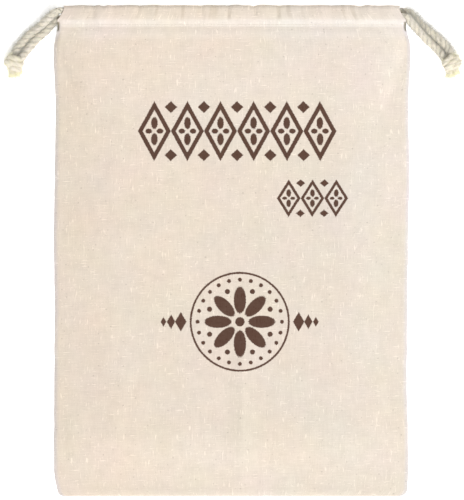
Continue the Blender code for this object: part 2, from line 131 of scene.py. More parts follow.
# Narrow creases between the gathers, in mm: slant is how far one leans right per mm upwards
CREASES = [
    {"x": -117.9, "half_width": 3.0, "height": -1.0, "slant": 0.0},
    {"x": -113.4, "half_width": 2.6, "height": 0.35, "slant": 0.0},
    {"x": -99.0, "half_width": 3.2, "height": -0.25, "slant": -0.1},
    {"x": -81.3, "half_width": 3.0, "height": -0.95, "slant": 0.35},
    {"x": -60.5, "half_width": 2.8, "height": -0.35, "slant": 0.0},
    {"x": -43.9, "half_width": 3.0, "height": -0.3, "slant": 0.1},
    {"x": -25.0, "half_width": 3.4, "height": -0.9, "slant": -0.15},
    {"x": -3.2, "half_width": 2.8, "height": -0.85, "slant": 0.0},
    {"x": 7.1, "half_width": 2.4, "height": -0.25, "slant": 0.1},
    {"x": 18.6, "half_width": 3.4, "height": -0.95, "slant": 0.0},
    {"x": 26.0, "half_width": 2.6, "height": 0.25, "slant": -0.1},
    {"x": 38.6, "half_width": 3.2, "height": -0.85, "slant": 0.2},
    {"x": 58.0, "half_width": 3.0, "height": -0.4, "slant": 0.0},
    {"x": 70.5, "half_width": 2.6, "height": -0.25, "slant": 0.0},
    {"x": 85.3, "half_width": 3.2, "height": -0.45, "slant": -0.1},
    {"x": 103.0, "half_width": 2.8, "height": -0.3, "slant": 0.1},
    {"x": 119.3, "half_width": 3.2, "height": -0.95, "slant": 0.0},
    {"x": 125.6, "half_width": 2.6, "height": -0.35, "slant": -0.2},
]

# How low the front lies along the bottom seam, over its height at the side seams
BOTTOM_RIM = 0.55
SETTLE_REACH = 45 * MM

# The pinched slit at each end of the stitch line: its middle line, width and depth
SLIT_FROM = (148.3 * MM, 187.0 * MM)
SLIT_TO = (146.6 * MM, 195.5 * MM)
SLIT_HALF_WIDTH = 1.5 * MM
SLIT_DEPTH = 2.6 * MM

# The puckers along the stitch line, and how far they reach each way from it, in mm
PUCKER_HEIGHT = 0.32 * MM
PUCKERS_BELOW = 6.0
PUCKERS_ABOVE = 4.0

# Notches of the top edge, in mm
NOTCHES = [
    {"x": -108.5, "half_width": 4.0, "depth": 1.0},
    {"x": 18.0, "half_width": 3.5, "depth": 0.5},
    {"x": 109.0, "half_width": 4.5, "depth": 0.9},
]

# The cords, as in the CAD source, but for where and how fast they swell outside the casings
CORD_DIAMETER = 5.0 * MM
TAIL_DIAMETER = 6.8 * MM
SWELL_STARTS = 140 * MM
SWELL_LENGTH = 15.0 * MM
RUN_STATIONS = (-134, -112, -84, -45, 0, 45, 84, 112, 134)
RUN_END = 143 * MM
TURN_START = 136 * MM
TURN_FLATNESS = 0.86
TURN_STEPS = 8
CHANGE_STARTS = 0.3
CHANGE_ENDS = 0.7
COLLAR_REACH = 9.6 * MM
COLLAR_DROP = 2.4 * MM
COLLAR_SPREAD = 3.75 * MM
LEFT_FRONT_TAIL = [
    (-149.4, 203.2, 12.3), (-156.1, 197.9, 10.6), (-163.2, 191.5, 7.6), (-170.8, 185.7, 4.7),
    (-177.6, 178.8, 3.8),
]
LEFT_BACK_TAIL = [
    (-148.2, 197.9, 3.8), (-152.7, 194.3, 3.6), (-159.2, 187.1, 3.4), (-166.2, 180.9, 3.6),
    (-172.0, 174.2, 3.7),
]
RIGHT_FRONT_TAIL = [
    (148.9, 198.6, 12.3), (154.6, 192.4, 10.6), (160.0, 186.7, 7.9), (166.4, 180.3, 4.8),
    (172.9, 174.4, 3.8),
]
RIGHT_BACK_TAIL = [
    (151.9, 202.6, 3.8), (158.5, 195.6, 3.5), (163.9, 190.9, 3.5), (170.8, 185.5, 3.6),
    (177.9, 179.6, 3.7),
]
KNOT_LEFT = {"middle": (-185.2, 160.4, 7.0), "turn": -29, "tail_turn": 6}
KNOT_RIGHT = {"middle": (187.0, 160.6, 7.0), "turn": 30, "tail_turn": 9}

# How the ropes are laid: three strands, each a circle in the rope's section
STRANDS = 3
TWIST_PITCH = 17.0 * MM
STRAND_RADIUS = 0.74
LOOSENESS = 1.08
ROPE_SIDES = 36
ROPE_STEP = 0.8 * MM
HIDDEN_SIDES = 18
HIDDEN_STEP = 3.2 * MM

# The loose fibres on them, in mm, and how much longer they are on the side away from the bag. On the
# cords they are grey and stand in for the cords' soft shadow on the floor: a painted shadow.
HAIRS_PER_METRE = 42000
HAIR_LENGTHS = (1.2, 4.4)
HAIR_RADIUS = 0.07
NAP_SHARE = 0.45

# The knots, in mm: the core's half sizes, the wraps round it, the tails and their yarns
CORE_HALF_LENGTH = 6.6
CORE_HALF_THICKNESS = 5.6
CORE_HALF_WIDTH = 7.0
WRAP_REACH = (5.8, 4.3)
WRAP_RISE = 5.0
WRAP_TURNS = 1.2
WRAP_RADIUS = 2.7
KNOT_NAP_REACH = 8.0
TAIL_REACHES = (8.8, 7.6)
TAIL_RADII = (2.4, 2.9)
YARNS = 110
YARN_LENGTHS = (3.4, 6.2)
YARN_RADII = (0.16, 0.2, 0.22, 0.2, 0.16, 0.06)

# The stitches along the casing, in mm
STITCH_LENGTH = 2.7
STITCH_GAP = 0.6
THREAD_RADIUS = 0.24 * MM
THREAD_SUNK = 0.06 * MM
ABOVE_STITCH = 1.2

# The camera, straight above, and the lights, with the glow that keeps the floor white
PHOTO_HEIGHT = 500
METRES_PER_PIXEL = 0.85 * MM
CAMERA_PLACE = Vector((0.00026, 0.001, 3.0))
CLOTH_LEVEL = 0.012
SENSOR = 24.0
KEY_FROM = Vector((0.12, -0.64, 1.0))
KEY_STRENGTH = 2.55
KEY_SOFTNESS = math.radians(14)
FILL_PLACE = Vector((1.7, 0.1, 1.3))
FILL_SIZE = 0.8
FILL_POWER = 9.0
SKY_STRENGTH = 0.5
FLOOR_GLOW = 0.55

# The weave, in mm, and the stretches of the mouth's fold with painted shade: the middle and reach of
# each
THREAD_PITCH = 0.78
CREST_SHADE_STRETCHES = ((-128, 22), (-89, 18), (-1, 12), (92, 12))

# The colours, as they reflect light
LINEN_COLOUR = (0.6465, 0.574, 0.495)
INK_COLOUR = (0.076, 0.033, 0.019)
COTTON_COLOUR = (0.76, 0.70, 0.58)
FRAYED_COLOUR = (0.86, 0.82, 0.62)
# painted shadow: the grey of the fibres on the cords, which stand in for their soft shadow on the
# floor
SHADOW_DOWN_COLOUR = (0.56, 0.545, 0.50)
SEWING_COLOUR = (0.70, 0.64, 0.55)


def smooth_step(t):
    t = np.clip(t, 0.0, 1.0)
    return t * t * (3 - 2 * t)


def mix(a, b, t):
    return a + (b - a) * t


def bump(distance, half_width):
    """A rounded rise: 1 in the middle and 0 at half_width."""
    t = np.minimum(np.abs(distance) / half_width, 1.0)
    return (1 - t * t) ** 2


def eased(value, places, heights):
    """Smooth steps from each height to the next, at these places."""
    i = np.clip(np.searchsorted(places, value) - 1, 0, len(places) - 2)
    t = (value - places[i]) / (places[i + 1] - places[i])
    return mix(heights[i], heights[i + 1], smooth_step(t))


def uneven(x, y, size, seed):
    """Smooth unevenness from about -1 to 1, in lumps of about this size."""
    x, y = np.broadcast_arrays(x, y)
    spots = zip(x.ravel() / size, y.ravel() / size)
    return np.array([noise.noise((a, b, seed)) for a, b in spots]).reshape(x.shape)


def through(points, steps):
    """A smooth curve through the points, with this many steps between each two."""
    points = np.asarray(points, float)
    ends = np.vstack([2 * points[0] - points[1], points, 2 * points[-1] - points[-2]])
    t = np.linspace(0, 1, steps, endpoint=False)[:, None]
    curve = []
    for a, b, c, d in zip(ends, ends[1:], ends[2:], ends[3:]):
        bend = (2 * a - 5 * b + 4 * c - d) * t**2 + (3 * b - a - 3 * c + d) * t**3
        curve.append(0.5 * (2 * b + (c - a) * t + bend))
    return np.vstack([*curve, points[-1:]])


def runs_of(line):
    """The distance run along a line at each of its points."""
    return np.concatenate([[0.0], np.cumsum(np.linalg.norm(np.diff(line, axis=0), axis=1))])


def even(line, step, axes=3):
    """The same line with its points about one step apart, as measured in its first axes."""
    runs = runs_of(line[:, :axes])
    places = np.linspace(0, runs[-1], max(int(runs[-1] / step), 2) + 1)
    return np.stack([np.interp(places, runs, axis) for axis in line.T], axis=1)


def frames_along(line):
    """A line's direction at each point, and two directions square to it that don't twist."""
    ahead = np.gradient(line, axis=0)
    ahead /= np.linalg.norm(ahead, axis=1)[:, None]
    across = np.zeros_like(line)
    last = np.array((0.0, 0.0, 1.0)) if abs(ahead[0][2]) < 0.9 else np.array((0.0, 1.0, 0.0))
    for i, direction in enumerate(ahead):
        last = last - direction * (last @ direction)
        last /= np.linalg.norm(last)
        across[i] = last
    return ahead, across, np.cross(ahead, across)


class Shape:
    """Points and faces gathered for one mesh, with a place on the material for each point."""

    def __init__(self):
        self.points = []
        self.places = []
        self.faces = []

    def grid(self, points, places):
        """A grid of points, which are rows of columns, with its faces turned to +Z."""
        first = len(self.points)
        rows, columns = points.shape[:2]
        self.points.extend(points.reshape(-1, 3).tolist())
        self.places.extend(places.reshape(-1, 3).tolist())
        for row in range(rows - 1):
            start = first + row * columns
            for i in range(start, start + columns - 1):
                self.faces.append((i, i + 1, i + columns + 1, i + columns))

    def tube(self, line, reaches, twist=None):
        """A closed tube round a line. reaches holds how far it reaches, ring by ring, at each
        side, and twist the turn of each ring."""
        first = len(self.points)
        rings, sides = reaches.shape
        _, across, beside = frames_along(line)
        turns = np.arange(sides) / sides + (np.zeros(rings) if twist is None else twist)[:, None]
        angles = math.tau * turns[:, :, None]
        out = across[:, None] * np.cos(angles) + beside[:, None] * np.sin(angles)
        points = line[:, None] + out * reaches[:, :, None]
        self.points.extend(points.reshape(-1, 3).tolist())
        strand = np.arange(sides) / sides * STRANDS
        places = np.zeros((rings, sides, 3))
        places[:, :, 0] = strand % 1.0
        places[:, :, 1] = (runs_of(line) / MM)[:, None]
        places[:, :, 2] = np.floor(strand)
        self.places.extend(places.reshape(-1, 3).tolist())
        for ring in range(rings - 1):
            low = first + ring * sides
            high = low + sides
            for i in range(sides):
                j = (i + 1) % sides
                self.faces.append((low + i, low + j, high + j, high + i))
        self.faces.append(tuple(range(first + sides - 1, first - 1, -1)))
        last = first + (rings - 1) * sides
        self.faces.append(tuple(range(last, last + sides)))

    def make(self, name, *materials):
        mesh = bpy.data.meshes.new(name)
        mesh.from_pydata(self.points, [], self.faces)
        places = mesh.attributes.new("place", "FLOAT_VECTOR", "POINT")
        places.data.foreach_set("vector", np.array(self.places, np.float32).ravel())
        mesh.shade_smooth()
        mesh.set_sharp_from_angle(angle=math.radians(62))
        for material in materials:
            mesh.materials.append(material)
        thing = bpy.data.objects.new(name, mesh)
        bpy.context.scene.collection.objects.link(thing)
        return thing


def mouth_rise(x):
    """How far the mouth gapes at this place, over its gap at the sides."""
    return MOUTH_LIFT * (1 - np.minimum(np.abs(x) / CASING_HALF_LENGTH, 1.0) ** 4)


def front_tunnel(x):
    return FRONT_TUNNEL_AT_SIDES + mouth_rise(x)


def loft_share(inward):
    """The share of the loft reached this far in from the edge, past the rounded edge."""
    eased_in = np.clip((inward - EDGE_REACH) / (EASE_REACH - EDGE_REACH), 0, 1)
    return mix(EDGE_SHARE, 1.0, np.sin(math.pi / 2 * eased_in))


def edge_stations(steps):
    """The rounded edge, as its distances in from the edge and its shares of the loft."""
    angles = np.linspace(0, math.pi / 2, steps + 1)
    return EDGE_REACH * (1 - np.cos(angles)), EDGE_SHARE * np.sin(angles)


def corner_inset(above_bottom, radius):
    """How far a rounded bottom corner draws the side edge in, this far above the bottom."""
    rest = np.maximum(radius - above_bottom, 0.0)
    return radius - np.sqrt(np.maximum(radius**2 - rest**2, 0.0))


def half_widths(y, inset):
    """The bag's half width at these heights on its left and its right, less an inset. The left
    side slants inwards on its way down to its rounded corner."""
    above = y - BOTTOM - inset
    slant = LEFT_SLANT * np.maximum(1 - above / SLANT_REACH, 0.0) ** 2
    wander_left = eased(y, SIDE_PLACES, LEFT_WANDER) + uneven(y, 0.0, 11 * MM, 4.2) * 0.35 * MM
    wander_right = eased(y, SIDE_PLACES, RIGHT_WANDER) + uneven(y, 0.0, 13 * MM, 8.7) * 0.35 * MM
    left = HALF_WIDTH - inset + wander_left - corner_inset(above, LEFT_CORNER) - slant
    right = HALF_WIDTH - inset + wander_right - corner_inset(above, RIGHT_CORNER)
    into_slit = smooth_step((y - STITCH + SLIT_LENGTH) / SLIT_LENGTH)
    return mix(left, CASING_HALF_LENGTH, into_slit), mix(right, CASING_HALF_LENGTH, into_slit)


def fold_height(x, y):
    """The height that the soft folds add to the front at these places."""
    height = np.zeros(np.broadcast_shapes(x.shape, y.shape))
    for fold in FOLDS:
        start = np.array(fold["from"]) * MM
        along = np.array(fold["to"]) * MM - start
        t = ((x - start[0]) * along[0] + (y - start[1]) * along[1]) / (along @ along)
        held = np.clip(t, 0, 1)
        off = np.hypot(x - start[0] - held * along[0], y - start[1] - held * along[1])
        fade_in = smooth_step((t + FOLD_END) / (2 * FOLD_END))
        fade_out = smooth_step((1 + FOLD_END - t) / (2 * FOLD_END))
        height += fold["height"] * MM * fade_in * fade_out * bump(off, fold["half_width"] * MM)
    return height


def gather_height(x, y):
    """The height of the casing's gathers and of the creases between them."""
    height = np.zeros(np.broadcast_shapes(x.shape, y.shape))
    for swell in GATHERS:
        height += swell["height"] * MM * bump(x / MM - swell["x"], swell["half_width"])
    for crease in CREASES:
        middle = crease["x"] + crease["slant"] * (y - LOWER_RUN) / MM
        height += crease["height"] * MM * bump(x / MM - middle, crease["half_width"])
    return height


def pucker_height(x, y):
    """The small upright ripples along the stitch line, which both layers there share."""
    above = (y - STITCH) / MM
    reach = np.where(above < 0, PUCKERS_BELOW, PUCKERS_ABOVE)
    return uneven(x, y / 3, 4.5 * MM, 9.5) * PUCKER_HEIGHT * np.exp(-((above / reach) ** 2))


def slit_depth(x, y):
    """How deep the cloth is pinched in at the ends of the stitch line."""
    t = (y - SLIT_FROM[1]) / (SLIT_TO[1] - SLIT_FROM[1])
    beside = np.abs(x) - mix(SLIT_FROM[0], SLIT_TO[0], t)
    return SLIT_DEPTH * bump(beside, SLIT_HALF_WIDTH) * bump(t - 0.5, 0.6)


def notch_depth(x):
    """How far the top edge is drawn down at these places."""
    depth = 0.1 * MM * (1 + uneven(x, 0.0, 26 * MM, 2.5))
    for notch in NOTCHES:
        depth = depth + notch["depth"] * MM * bump(x / MM - notch["x"], notch["half_width"])
    return depth


def body_height(x, y, share, row_share):
    """The height of the front cloth's middle between the bottom and the stitch line."""
    loft = mix(LOFT_BOTTOM, LOFT_TOP, smooth_step((y - BOTTOM) / BAG_HEIGHT))
    inner = share * row_share
    body = FRONT_RIM + (loft - FRONT_RIM + fold_height(x, y)) * inner
    casing = front_tunnel(x) + LAYER_PITCH / 2
    full = smooth_step((share - RISE_STARTS) / (RISE_IS_FULL - RISE_STARTS))
    rise_length = mix(SLIT_LENGTH, RISE_LENGTH, full)
    smooth = mix(body, casing, smooth_step((y - STITCH + rise_length) / rise_length))
    lumps = uneven(x, y, 38 * MM, 1.5) * 0.5 + uneven(x, y, 15 * MM, 6.5) * 0.16
    lumps += uneven(x, y, 6.5 * MM, 3.5) * 0.05
    below = (STITCH - y) / MM
    swell = 0.4 * bump(below - 5.5, 5.5)
    bulges = (lumps * smooth_step(below / 30) + swell) * inner * MM
    return smooth + bulges + pucker_height(x, y)


def casing_profile(panel_at_stitch, flap_at_stitch):
    """The fold of cloth round the two cord runs, as rows of (y, height over the tunnel's
    middle, half length, weight of the gathers), from the stitch line over the top and back."""
    slanted = mix(CASING_HALF_LENGTH, FOLD_HALF_LENGTH, 0.5)
    rows = [(STITCH, panel_at_stitch, CASING_HALF_LENGTH, 0.05)]
    for y, risen, weight in FLANK:
        rows.append((y, mix(panel_at_stitch, WALL_RADIUS, risen), CASING_HALF_LENGTH, weight))
    rows.append((LOWER_RUN, WALL_RADIUS, slanted, 1.0))
    rows.append((UPPER_RUN, WALL_RADIUS, FOLD_HALF_LENGTH, 1.0))
    for degrees, weight in ((60, 0.9), (30, 0.6), (0, 0.4), (-30, 0.15), (-60, 0.0)):
        angle = math.radians(degrees)
        half_length = FOLD_HALF_LENGTH if degrees >= 0 else FLAP_HALF_LENGTH
        y = UPPER_RUN + WALL_RADIUS * math.cos(angle)
        rows.append((y, WALL_RADIUS * math.sin(angle), half_length, weight))
    for y in (UPPER_RUN, LOWER_RUN):
        rows.append((y, -WALL_RADIUS, FLAP_HALF_LENGTH, 0.0))
    for y, risen, _ in reversed(FLANK):
        rows.append((y, mix(flap_at_stitch, -WALL_RADIUS, risen), FLAP_HALF_LENGTH, 0.0))
    for y in (STITCH, STITCH - FLAP_BELOW_STITCH):
        rows.append((y, flap_at_stitch, FLAP_HALF_LENGTH, 0.0))
    return even(through(rows, 6), CASING_STEP, axes=2)


def front_grid(columns=204, rows=146):
    """The front cloth as a grid of points and of places: across, and up or along the fold."""
    half = HALF_WIDTH - CLOTH / 2
    inwards, shares = edge_stations(7)
    middle = np.linspace(-half + EDGE_REACH, half - EDGE_REACH, columns + 1)[1:-1]
    across = np.concatenate([inwards - half, middle, half - inwards[::-1]])
    share = np.concatenate([shares, loft_share(half - np.abs(middle)), shares[::-1]])
    body_y = np.linspace(BOTTOM + EDGE_REACH, STITCH - SLIT_LENGTH, rows + 1)[1:]
    slit_y = np.linspace(STITCH - SLIT_LENGTH, STITCH, 13)[1:]
    y = np.concatenate([BOTTOM + CLOTH / 2 + inwards, body_y, slit_y])[:, None]
    rising = loft_share(body_y - BOTTOM)
    settled = mix(BOTTOM_RIM, 1.0, smooth_step((body_y - BOTTOM - EDGE_REACH) / SETTLE_REACH))
    row_share = np.concatenate([shares * BOTTOM_RIM, rising * settled, np.ones(len(slit_y))])
    left, right = half_widths(y, CLOTH / 2)
    x = across / half * np.where(across < 0, left, right)
    z = body_height(x, y, share, row_share[:, None])
    body = np.stack([x, np.broadcast_to(y, x.shape), z], axis=2)

    profile = casing_profile(LAYER_PITCH / 2, -LAYER_PITCH / 2)[1:]
    y, height, half_length, weight = (profile[:, i : i + 1] for i in range(4))
    x = across / half * half_length
    past_run = np.maximum(y - UPPER_RUN, 0.0)
    length = np.hypot(past_run, height)
    above = smooth_step((y - LOWER_RUN) / (UPPER_RUN + WALL_RADIUS - LOWER_RUN))
    fine = uneven(x, y / 2, 9 * MM, 5.5) * 0.16 * MM
    out = (gather_height(x, y) + fine) * weight
    y_out = y + past_run / length * out - notch_depth(x) * above
    z_out = front_tunnel(x) + height * (1 + out / length) + pucker_height(x, y)
    casing = np.stack([x, y_out, z_out], axis=2)
    points = np.concatenate([body, casing])
    outer = np.arange(len(points)) < len(body) + CASING_FACE
    points[outer, :, 2] -= slit_depth(points[outer, :, 0], points[outer, :, 1])
    upwards = np.concatenate([body[:, 0, 1], STITCH + runs_of(profile[:, :2]) + CASING_STEP])
    return points, cloth_places(across, upwards)


def cloth_places(across, upwards):
    """The places on the flat cloth, in mm, of a grid's columns and rows."""
    places = np.zeros((len(upwards), len(across), 3))
    places[:, :, 0] = across / MM
    places[:, :, 1] = upwards[:, None] / MM
    return places


def back_grid(columns=110, rows=96):
    """The back cloth as a grid: flat on the ground, with its casing folded over on top."""
    half = HALF_WIDTH
    across = half * np.sin(np.linspace(-1, 1, columns + 1) * 1.25) / math.sin(1.25)
    corner = BOTTOM + RIGHT_CORNER * (1 - np.cos(np.linspace(0, math.pi / 2, 9)))
    body_y = np.linspace(corner[-1], STITCH, rows + 1)[1:]
    y = np.concatenate([corner, body_y])[:, None]
    left, right = half_widths(y, 0.0)
    x = across / half * np.where(across < 0, left, right)
    inward = np.minimum(np.minimum(x + left, right - x), y - BOTTOM)
    curl = bump(np.maximum(inward, 0), 4 * MM) * (1 - smooth_step((y - STITCH) / SLIT_LENGTH + 1))
    z = CLOTH / 2 + (BACK_RIM - CLOTH / 2) * curl
    body = np.stack([x, np.broadcast_to(y, x.shape), z], axis=2)
    profile = casing_profile(WALL_RADIUS - 0.1 * MM, WALL_RADIUS - 0.1 * MM - LAYER_PITCH)[1:]
    y, height, half_length, weight = (profile[:, i : i + 1] for i in range(4))
    x = across / half * half_length
    wave = np.abs(uneven(x, y, 22 * MM, 7.5)) * 0.4 * MM * weight
    casing = np.stack([x, y - wave, np.broadcast_to(BACK_TUNNEL - height, x.shape)], axis=2)
    points = np.concatenate([body, casing])
    upwards = np.concatenate([body[:, 0, 1], STITCH + runs_of(profile[:, :2]) + CASING_STEP])
    return points, cloth_places(across, upwards)


def cloth_sheet(name, grid, node, *materials):
    """A sheet of cloth with its thickness, which stands for a CAD panel."""
    shape = Shape()
    shape.grid(*grid)
    sheet = shape.make(name, *materials)
    thick = sheet.modifiers.new("cloth thickness", "SOLIDIFY")
    thick.thickness = CLOTH
    thick.offset = 0.0
    thick.use_even_offset = True
    thick.material_offset = len(materials) - 1
    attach(sheet, "root")
    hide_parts(node)
    return sheet


def spot_on(grid, x, v):
    """The point of a grid at a place across and up the cloth, and the cloth's outward normal."""
    points, places = grid
    column = np.interp(x, places[0, :, 0], np.arange(places.shape[1]))
    row = np.interp(v, places[:, 0, 1], np.arange(places.shape[0]))
    i = min(int(row), places.shape[0] - 2)
    j = min(int(column), places.shape[1] - 2)
    s = row - i
    t = column - j
    low = mix(points[i, j], points[i, j + 1], t)
    high = mix(points[i + 1, j], points[i + 1, j + 1], t)
    side = points[i, j + 1] - points[i, j]
    normal = np.cross(side, points[i + 1, j] - points[i, j])
    return mix(low, high, s), normal / np.linalg.norm(normal)


def stitch_row(name, grid, start, end, material):
    """A row of lockstitches on a cloth from one place on it to another, in mm."""
    draw = random.Random(31)
    shape = Shape()
    span = np.array(end, float) - np.array(start, float)
    count = int(np.linalg.norm(span) / (STITCH_LENGTH + STITCH_GAP))
    for i in range(count):
        first = np.array(start) + span * (i + 0.1) / count
        last = first + span / count * STITCH_LENGTH / (STITCH_LENGTH + STITCH_GAP)
        wander = draw.uniform(-0.12, 0.12)
        line = []
        for t, lift in ((0, -1.8), (0.06, 0.0), (0.3, 0.5), (0.7, 0.5), (0.94, 0.0), (1, -1.8)):
            x, v = mix(first, last, t)
            point, normal = spot_on(grid, x, v + wander * (t - 0.5))
            line.append(point + normal * (CLOTH / 2 + THREAD_RADIUS * lift - THREAD_SUNK))
        line = np.array(line)
        shape.tube(line, np.full((len(line), 6), THREAD_RADIUS))
    row = shape.make(name, material)
    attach(row, "root")
    return row


def knot_matrix(knot, turn="turn"):
    """The place of a knot: its cords come in along its +Y, or its tails leave along its -Y."""
    turned = Matrix.Rotation(math.radians(knot[turn]), 4, "Z")
    return np.array(Matrix.Translation(Vector(knot["middle"]) * MM) @ turned)


def placed(matrix, points):
    """Points given in a knot's own frame, in the frame of the bag."""
    return np.asarray(points, float) @ matrix[:3, :3].T + matrix[:3, 3]


def knot_approach(knot, strand):
    """The last points of a cord, through its knot's collar and into the knot."""
    beside = strand * COLLAR_SPREAD
    points = []
    for way, tuck in ((1.3, 0.0), (1.12, 0.05), (0.9, 0.1), (0.5, 0.3), (0.1, 0.75)):
        points.append((beside * (1 - tuck), COLLAR_REACH * way, -COLLAR_DROP * way))
    return placed(knot_matrix(knot), points)


def cord_line(side, front_y, back_y, front_tail, back_tail, knot):
    """The middle of one cord, from its knot through the front casing, round the far side and
    out through the back casing to the same knot."""
    stations = np.array(RUN_STATIONS) * MM * -side
    inwards = [(x, front_y, float(front_tunnel(x))) for x in (side * RUN_END, *stations)]
    outwards = [(x, back_y, BACK_TUNNEL) for x in (*stations[::-1], side * RUN_END)]
    radius = (front_tunnel(TURN_START) - BACK_TUNNEL) / 2
    turn = []
    for step in range(TURN_STEPS + 1):
        t = step / TURN_STEPS
        angle = math.pi / 2 - math.pi * t
        out = TURN_START + radius * TURN_FLATNESS * math.cos(angle)
        y = mix(front_y, back_y, smooth_step((t - CHANGE_STARTS) / (CHANGE_ENDS - CHANGE_STARTS)))
        turn.append((-side * out, y, BACK_TUNNEL + radius * (1 + math.sin(angle))))
    front = [*(np.array(front_tail) * MM), *knot_approach(knot, -1)]
    back = [*(np.array(back_tail) * MM), *knot_approach(knot, 1)]
    route = np.array([*reversed(front), *inwards, *turn, *outwards, *back])
    return even(through(route, 10), ROPE_STEP)


def oval_section(across, beside, sides):
    """How far an oval reaches round its middle, given its half sizes along both directions."""
    angle = np.arange(sides) / sides * math.tau
    return 1 / np.hypot(np.cos(angle) / across, np.sin(angle) / beside)


def strand_outline(sides):
    """How far a rope of three strands reaches round its middle, as shares of its radius."""
    angle = (np.arange(sides) / sides * STRANDS % 1.0 - 0.5) * math.tau / STRANDS
    offset = 1 - STRAND_RADIUS
    reach = np.sqrt(STRAND_RADIUS**2 - (offset * np.sin(angle)) ** 2)
    return offset * np.cos(angle) + reach


def rope(shape, line, radii, start=0.0, sides=ROPE_SIDES, seed=0.5):
    """A twisted rope round a line. start is the distance run before the line's first point."""
    runs = runs_of(line) + start
    pulse = 1 + 0.08 * uneven(runs, 0.0, 5 * MM, seed)
    reaches = (radii * pulse)[:, None] * strand_outline(sides)
    shape.tube(line, reaches, runs / TWIST_PITCH)


def hairs(shape, line, radii, side, seed):
    """Loose fibres that stand off a rope, longest on its side away from the bag."""
    draw = random.Random(seed)
    ahead, across, beside = frames_along(line)
    away = np.array((side * 0.64, 0.77, 0.0))
    for _ in range(int(runs_of(line)[-1] * HAIRS_PER_METRE)):
        i = draw.randrange(1, len(line) - 1)
        angle = draw.uniform(0, math.tau)
        out = across[i] * math.cos(angle) + beside[i] * math.sin(angle)
        way = out + ahead[i] * draw.uniform(-1.2, 1.2)
        way /= np.linalg.norm(way)
        bend = np.array([draw.uniform(-1, 1) for _ in range(3)])
        length = draw.uniform(*HAIR_LENGTHS) * MM * (1 + NAP_SHARE * (out @ away))
        root = line[i] + out * radii[i] * 0.78
        steps = np.linspace(0, 1, 4)[:, None]
        fibre = root + way * length * steps + bend * length * 0.35 * steps**2
        fibre[:, 2] = np.maximum(fibre[:, 2], 0.1 * MM)
        thin = np.linspace(1.0, 0.4, 4)[:, None] * HAIR_RADIUS * MM
        shape.tube(fibre, np.repeat(thin, 3, axis=1))


def cord(name, node, side, line, material, down):
    """One drawcord: its two free ends and its run in the casings."""
    runs = runs_of(line)
    outside = np.flatnonzero(side * line[:, 0] < CASING_HALF_LENGTH)
    first, last = outside[0], outside[-1]
    free = smooth_step((np.abs(line[:, 0]) - SWELL_STARTS) / SWELL_LENGTH)
    radii = mix(CORD_DIAMETER, TAIL_DIAMETER, free) * LOOSENESS / 2
    # grey fibres on the free ends, real fuzz in their shape and a painted shadow of the cord on the
    # floor in their colour
    shadow_fuzz = Shape()
    for which, part in (("front", slice(0, first + 1)), ("back", slice(last, None))):
        shape = Shape()
        rope(shape, line[part], radii[part], runs[part][0])
        hairs(shadow_fuzz, line[part], radii[part], side, len(name) + len(which))
        tail = shape.make(f"{name}_{which}_end", material)
        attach(tail, "root")
        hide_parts(node)
        path = line[part] if which == "back" else line[part][::-1]
    shape = Shape()
    inner = line[first : last + 1]
    spaced = even(inner, HIDDEN_STEP)
    rope(shape, spaced, np.interp(runs_of(spaced), runs_of(inner), radii[first : last + 1]),
         runs[first], HIDDEN_SIDES)
    hidden = shape.make(f"{name}_run", material)
    loose = shadow_fuzz.make(f"{name}_fuzz", down)
    for piece in (hidden, loose):
        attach(piece, "root")
        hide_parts(node)


